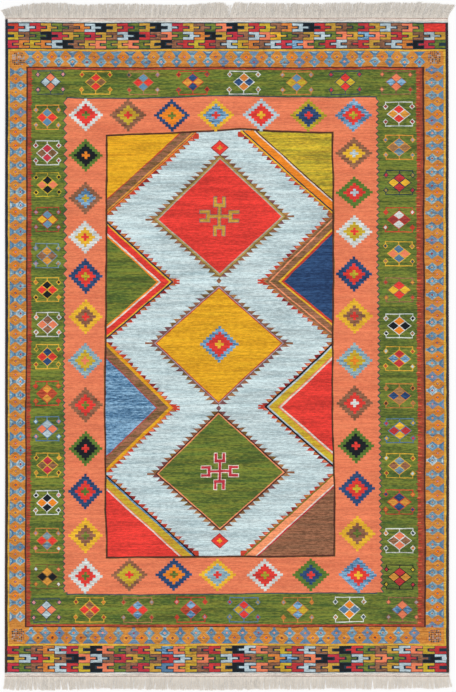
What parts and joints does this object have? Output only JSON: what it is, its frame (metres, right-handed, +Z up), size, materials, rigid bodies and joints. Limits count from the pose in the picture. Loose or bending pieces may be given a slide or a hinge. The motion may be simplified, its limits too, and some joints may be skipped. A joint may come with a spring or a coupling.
{
  "type": "flat-woven rug",
  "caption": "Large flat-woven tribal rug laid out flat, with overcast edges, bare webs, twined cords and warp fringes at both ends; a soft floor covering.",
  "frame": {"origin": "on the floor, under the middle of the whole rug with its fringes", "axes": "+Z up, +Y along the rug's length towards its top end, +X across it to the right"},
  "size_m": [2.0466, 3.1078, 0.0056],
  "materials": {
    "woven_wool": "matte patterned flat weave",
    "binding_wool": "matte overcast wool",
    "cord_wool": "matte twined yarn",
    "fringe_cotton": "matte cotton strands"
  },
  "bodies": {
    "root": {"rug_body": "woven_wool", "selvedge_left": "binding_wool", "selvedge_right": "binding_wool", "end_cord_top": "cord_wool", "end_cord_bottom": "cord_wool", "fringe_top": "fringe_cotton", "fringe_bottom": "fringe_cotton"}
  },
  "joints": []
}
